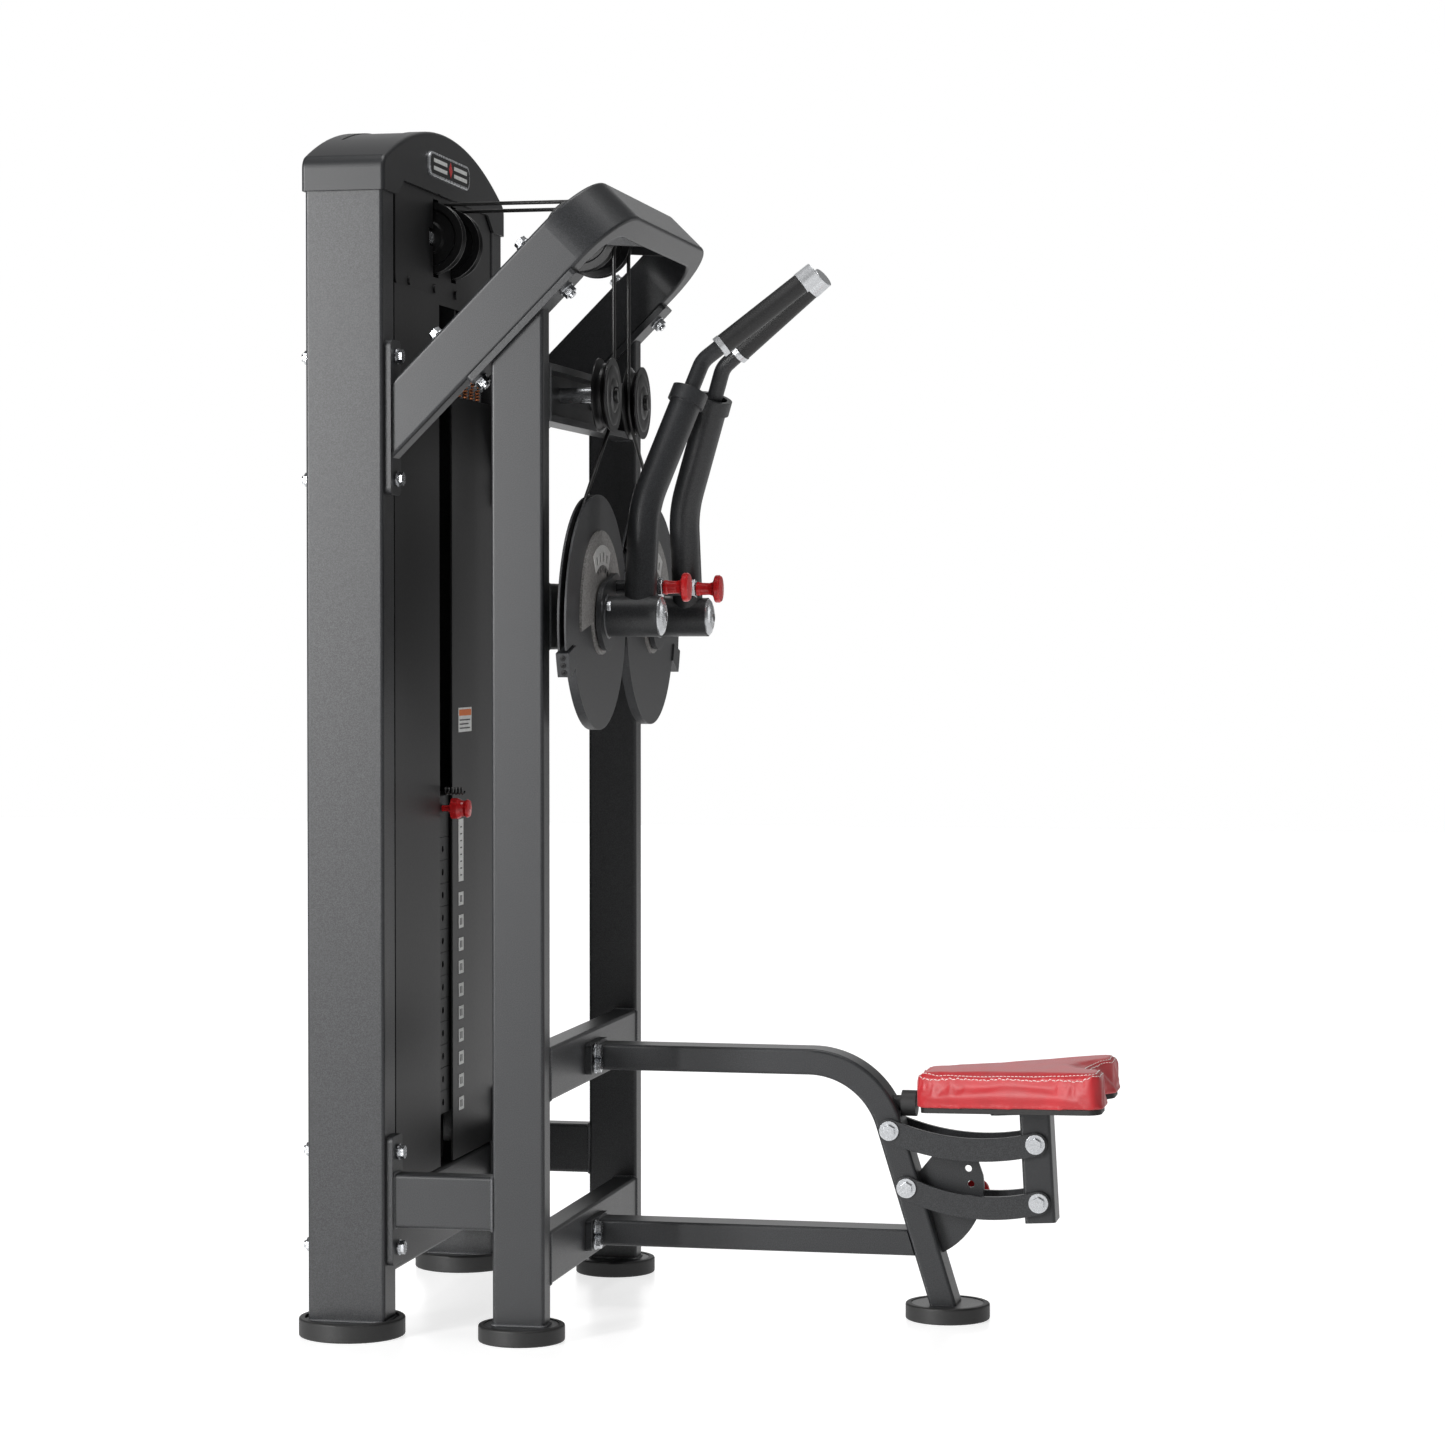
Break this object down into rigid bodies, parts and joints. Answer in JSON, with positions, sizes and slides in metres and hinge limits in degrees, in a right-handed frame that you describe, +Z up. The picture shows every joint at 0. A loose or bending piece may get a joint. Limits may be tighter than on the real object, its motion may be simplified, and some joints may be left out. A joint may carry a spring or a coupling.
{
  "type": "lat pulldown machine",
  "caption": "Plate-stack lat pulldown machine with converging arms on twin cams, cable drive under a hoop frame and a four-bar adjustable seat.",
  "frame": {"origin": "bottom centre of the bounding box, on the floor", "axes": "+Z up, +X from the weight tower towards the seat, +Y to the seated user's right"},
  "size_m": [1.1946, 0.78, 1.837],
  "materials": {
    "frame_paint": "fine texture charcoal powder coat",
    "cover_paint": "satin black",
    "cap_plastic": "satin moulded",
    "badge": "gloss, plain",
    "labels": "printed film",
    "foot_rubber": "matt moulded",
    "grip_rubber": "ribbed matt",
    "pulley_plastic": "gloss moulded",
    "bolts": "bright zinc",
    "polished_steel": "polished",
    "brushed": "machined",
    "cast": "painted",
    "aluminium_rings": "turned",
    "cable": "nylon sheathed",
    "knob_red": "gloss",
    "pin_knob": "gloss",
    "upholstery": "coated fabric",
    "board": "painted plywood"
  },
  "bodies": {
    "frame": {"axles": "polished_steel", "cable_left": "cable", "cable_right": "cable", "cap_badge": "badge", "cover_labels": "labels", "frame_bolts": "bolts", "front_beams": "frame_paint", "front_columns": "frame_paint", "front_covers": "cover_paint", "guide_rods": "polished_steel", "hoop": "frame_paint", "pivot_beam": "frame_paint", "pulley_shroud": "cover_paint", "rear_cover": "cover_paint", "rubber_bumpers": "foot_rubber", "rubber_feet": "foot_rubber", "saddle_plates": "frame_paint", "seat_lower_tube": "frame_paint", "seat_post": "frame_paint", "seat_sector": "frame_paint", "side_rails": "frame_paint", "top_cap": "cap_plastic", "tower_columns": "frame_paint", "tower_lower_beam": "frame_paint", "tower_upper_beam": "frame_paint", "upper_cross_member": "frame_paint", "weight_plates": "cast"},
    "left_cam": {"cam_left": "frame_paint", "index_plate_left": "brushed", "cam_cable_left": "cable"},
    "right_cam": {"cam_right": "frame_paint", "index_plate_right": "brushed", "cam_cable_right": "cable"},
    "left_arm": {"arm_left": "frame_paint", "hub_cap_left": "polished_steel"},
    "right_arm": {"arm_right": "frame_paint", "hub_cap_right": "polished_steel"},
    "left_pop_pin": {"pop_pin_left": "knob_red"},
    "right_pop_pin": {"pop_pin_right": "knob_red"},
    "left_handle": {"handle_left": "frame_paint", "grip_left": "grip_rubber", "grip_rings_left": "aluminium_rings"},
    "right_handle": {"handle_right": "frame_paint", "grip_right": "grip_rubber", "grip_rings_right": "aluminium_rings"},
    "stack": {"head_plate": "cast", "selector_rod": "brushed", "stack_cables": "cable"},
    "stack_pin": {"selector_pin": "pin_knob"},
    "tower_pulley_pair": {"tower_pulleys": "pulley_plastic"},
    "hoop_pulley_pair": {"hoop_pulleys": "pulley_plastic"},
    "lower_pulley_l": {"lower_pulley_left": "pulley_plastic"},
    "lower_pulley_r": {"lower_pulley_right": "pulley_plastic"},
    "seat_lower_link": {"lower_links": "frame_paint"},
    "seat_upper_link": {"upper_links": "frame_paint"},
    "seat": {"seat_carrier": "frame_paint", "seat_board": "board", "seat_pad": "upholstery", "seat_pivots": "bolts"},
    "seat_lock_pin": {"seat_pin": "knob_red"}
  },
  "joints": [
    {"name": "cam_turn_left", "type": "hinge", "parent": "frame", "child": "left_cam", "pos_m": [-0.17228, -0.176, 1.081], "axis": [1, 0, 0], "range_deg": [0, 90]},
    {"name": "cam_turn_right", "type": "hinge", "parent": "frame", "child": "right_cam", "pos_m": [-0.17228, 0.176, 1.081], "axis": [-1, 0, 0], "range_deg": [0, 90]},
    {"name": "arm_start_left", "type": "hinge", "parent": "left_cam", "child": "left_arm", "pos_m": [-0.10378, -0.176, 1.081], "axis": [1, 0, 0], "range_deg": [0, 72]},
    {"name": "arm_start_right", "type": "hinge", "parent": "right_cam", "child": "right_arm", "pos_m": [-0.10378, 0.176, 1.081], "axis": [-1, 0, 0], "range_deg": [0, 72]},
    {"name": "pop_pin_pull_left", "type": "slide", "parent": "left_arm", "child": "left_pop_pin", "axis": [1, 0, 0], "range_m": [0, 0.008], "stiffness_N_per_m": 1500},
    {"name": "pop_pin_pull_right", "type": "slide", "parent": "right_arm", "child": "right_pop_pin", "axis": [1, 0, 0], "range_m": [0, 0.008], "stiffness_N_per_m": 1500},
    {"name": "handle_turn_left", "type": "hinge", "parent": "left_arm", "child": "left_handle", "pos_m": [-0.04638, -0.0934, 1.416], "axis": [-0.3154, -0.2616, -0.9122], "range_deg": [-5, 30]},
    {"name": "handle_turn_right", "type": "hinge", "parent": "right_arm", "child": "right_handle", "pos_m": [-0.04638, 0.0934, 1.416], "axis": [0.3154, -0.2616, 0.9122], "range_deg": [-5, 30]},
    {"name": "stack_lift", "type": "slide", "parent": "frame", "child": "stack", "axis": [0, 0, 1], "range_m": [0, 0.2797], "deforming": ["stack_cables"]},
    {"name": "selector_pull", "type": "slide", "parent": "stack", "child": "stack_pin", "axis": [1, 0, 0], "range_m": [0, 0.09]},
    {"name": "tower_pulley_turn", "type": "hinge", "parent": "frame", "child": "tower_pulley_pair", "pos_m": [-0.46928, 0, 1.6715], "axis": [0, 1, 0], "range_deg": [-1, 309]},
    {"name": "hoop_pulley_turn", "type": "hinge", "parent": "frame", "child": "hoop_pulley_pair", "pos_m": [-0.22478, 0, 1.6715], "axis": [0, 1, 0], "range_deg": [-1, 309]},
    {"name": "lower_pulley_turn_left", "type": "hinge", "parent": "frame", "child": "lower_pulley_l", "pos_m": [-0.17228, -0.102, 1.42], "axis": [1, 0, 0], "range_deg": [-309, 1]},
    {"name": "lower_pulley_turn_right", "type": "hinge", "parent": "frame", "child": "lower_pulley_r", "pos_m": [-0.17228, 0.102, 1.42], "axis": [1, 0, 0], "range_deg": [-1, 309]},
    {"name": "seat_height", "type": "hinge", "parent": "frame", "child": "seat_lower_link", "pos_m": [0.28392, 0, 0.2048], "axis": [0, -1, 0], "range_deg": [0, 29]},
    {"name": "seat_upper_turn", "type": "hinge", "parent": "frame", "child": "seat_upper_link", "pos_m": [0.25702, 0, 0.2922], "axis": [0, -1, 0], "range_deg": [0, 29]},
    {"name": "seat_level", "type": "hinge", "parent": "seat_lower_link", "child": "seat", "pos_m": [0.48722, 0, 0.1878], "axis": [0, -1, 0], "range_deg": [-29, 0]},
    {"name": "seat_pin_pull", "type": "slide", "parent": "seat_lower_link", "child": "seat_lock_pin", "axis": [0, 1, 0], "range_m": [0, 0.013], "stiffness_N_per_m": 1500}
  ],
  "couplings": [
    {"joint": "cam_turn_right", "follows": "cam_turn_left", "ratio": 1},
    {"joint": "stack_lift", "follows": "cam_turn_left", "m_per_rad": 0.178},
    {"joint": "tower_pulley_turn", "follows": "cam_turn_left", "ratio": 3.4231},
    {"joint": "hoop_pulley_turn", "follows": "cam_turn_left", "ratio": 3.4231},
    {"joint": "lower_pulley_turn_left", "follows": "cam_turn_left", "ratio": -3.4231},
    {"joint": "lower_pulley_turn_right", "follows": "cam_turn_left", "ratio": 3.4231},
    {"joint": "seat_upper_turn", "follows": "seat_height", "ratio": 0.9007},
    {"joint": "seat_level", "follows": "seat_height", "ratio": -1}
  ]
}
